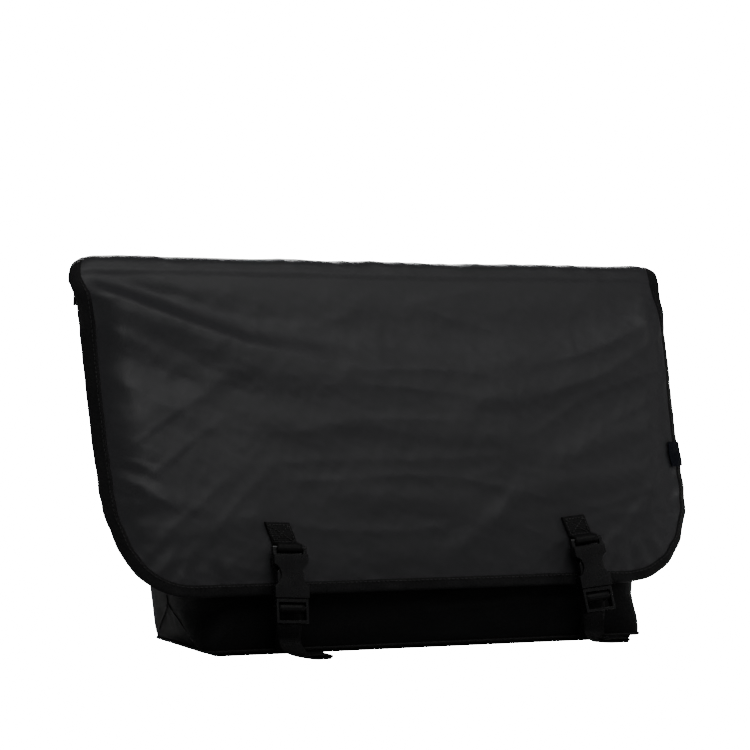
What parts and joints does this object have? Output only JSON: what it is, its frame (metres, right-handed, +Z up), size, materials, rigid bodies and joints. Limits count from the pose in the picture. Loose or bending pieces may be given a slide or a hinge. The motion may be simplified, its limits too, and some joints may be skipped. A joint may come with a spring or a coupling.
{
  "type": "messenger bag",
  "caption": "Large soft courier messenger bag with a wide buckled flap, open main compartment and webbing shoulder strap.",
  "frame": {"origin": "centre of the base's underside, on the floor", "axes": "+X to the right seen from the front, +Y towards the back panel, +Z up"},
  "size_m": [0.608, 0.2627, 0.368],
  "materials": {
    "coated_nylon": "satin",
    "body_nylon": "matte",
    "lining": "matte",
    "board": "matte",
    "foam": "matte",
    "binding_tape": "matte",
    "label": "matte",
    "buckle_plastic": "satin",
    "ring_plastic": "satin",
    "webbing": "matte"
  },
  "bodies": {
    "bag": {"bottom_panel": "body_nylon", "front_panel": "body_nylon", "back_panel": "body_nylon", "left_gusset": "body_nylon", "right_gusset": "body_nylon", "liner": "lining", "base_board": "board", "back_foam": "foam", "mouth_tape": "binding_tape", "flap_root": "coated_nylon", "left_lower_strap": "webbing", "right_lower_strap": "webbing", "left_strap_tail": "webbing", "right_strap_tail": "webbing", "left_ring_tab": "webbing", "right_ring_tab": "webbing"},
    "flap_crown": {"crown_shell": "coated_nylon", "crown_lining": "lining"},
    "flap_front": {"flap_shell": "coated_nylon", "flap_lining": "lining", "flap_binding": "binding_tape", "label_tab": "label", "left_buckle_web": "webbing", "right_buckle_web": "webbing"},
    "left_socket": {"left_socket": "buckle_plastic"},
    "left_plug": {"left_plug": "buckle_plastic", "left_plug_web": "webbing"},
    "left_arm_inner": {"left_arm_inner": "buckle_plastic"},
    "left_arm_outer": {"left_arm_outer": "buckle_plastic"},
    "right_socket": {"right_socket": "buckle_plastic"},
    "right_plug": {"right_plug": "buckle_plastic", "right_plug_web": "webbing"},
    "right_arm_inner": {"right_arm_inner": "buckle_plastic"},
    "right_arm_outer": {"right_arm_outer": "buckle_plastic"},
    "strap": {"shoulder_strap": "webbing", "left_ring": "ring_plastic", "right_ring": "ring_plastic"},
    "slider": {"strap_slider": "ring_plastic"}
  },
  "joints": [
    {"name": "flap_hinge", "type": "hinge", "parent": "bag", "child": "flap_crown", "pos_m": [0, 0.05093, 0.36402], "axis": [-1, 0, 0], "range_deg": [0, 165]},
    {"name": "flap_fold", "type": "hinge", "parent": "flap_crown", "child": "flap_front", "pos_m": [0, 0.02907, 0.36402], "axis": [-1, 0, 0], "range_deg": [0, 156]},
    {"name": "left_socket_swing", "type": "hinge", "parent": "flap_front", "child": "left_socket", "pos_m": [-0.148, -0.0874, 0.099], "axis": [-0.9986, 0.0127, 0.0508], "range_deg": [0, 40]},
    {"name": "left_plug_release", "type": "slide", "parent": "left_socket", "child": "left_plug", "axis": [-0.0523, -0.2416, -0.969], "range_m": [0, 0.022]},
    {"name": "left_inner_squeeze", "type": "hinge", "parent": "left_plug", "child": "left_arm_inner", "pos_m": [-0.14178, -0.09842, 0.05477], "axis": [0, -0.9703, 0.2419], "range_deg": [0, 7], "stiffness_Nm_per_rad": 0.3},
    {"name": "left_outer_squeeze", "type": "hinge", "parent": "left_plug", "child": "left_arm_outer", "pos_m": [-0.15895, -0.09821, 0.05564], "axis": [0, 0.9703, -0.2419], "range_deg": [0, 7], "stiffness_Nm_per_rad": 0.3},
    {"name": "right_socket_swing", "type": "hinge", "parent": "flap_front", "child": "right_socket", "pos_m": [0.158, -0.0874, 0.099], "axis": [-0.9954, -0.0232, -0.093], "range_deg": [0, 40]},
    {"name": "right_plug_release", "type": "slide", "parent": "right_socket", "child": "right_plug", "axis": [0.0958, -0.2408, -0.9658], "range_m": [0, 0.022]},
    {"name": "right_inner_squeeze", "type": "hinge", "parent": "right_plug", "child": "right_arm_inner", "pos_m": [0.15377, -0.09848, 0.05455], "axis": [0, 0.9703, -0.2419], "range_deg": [0, 7], "stiffness_Nm_per_rad": 0.3},
    {"name": "right_outer_squeeze", "type": "hinge", "parent": "right_plug", "child": "right_arm_outer", "pos_m": [0.17089, -0.09808, 0.05614], "axis": [0, -0.9703, 0.2419], "range_deg": [0, 7], "stiffness_Nm_per_rad": 0.3},
    {"name": "strap_swing", "type": "hinge", "parent": "bag", "child": "strap", "pos_m": [0, 0.0689, 0.316], "axis": [-1, 0, 0], "range_deg": [-165, 0]},
    {"name": "slider_slide", "type": "slide", "parent": "strap", "child": "slider", "axis": [0, 0, 1], "range_m": [-0.016, 0.016]}
  ],
  "couplings": [
    {"joint": "flap_fold", "follows": "flap_hinge", "ratio": 0.94},
    {"joint": "left_outer_squeeze", "follows": "left_inner_squeeze", "ratio": 1},
    {"joint": "right_outer_squeeze", "follows": "right_inner_squeeze", "ratio": 1}
  ]
}
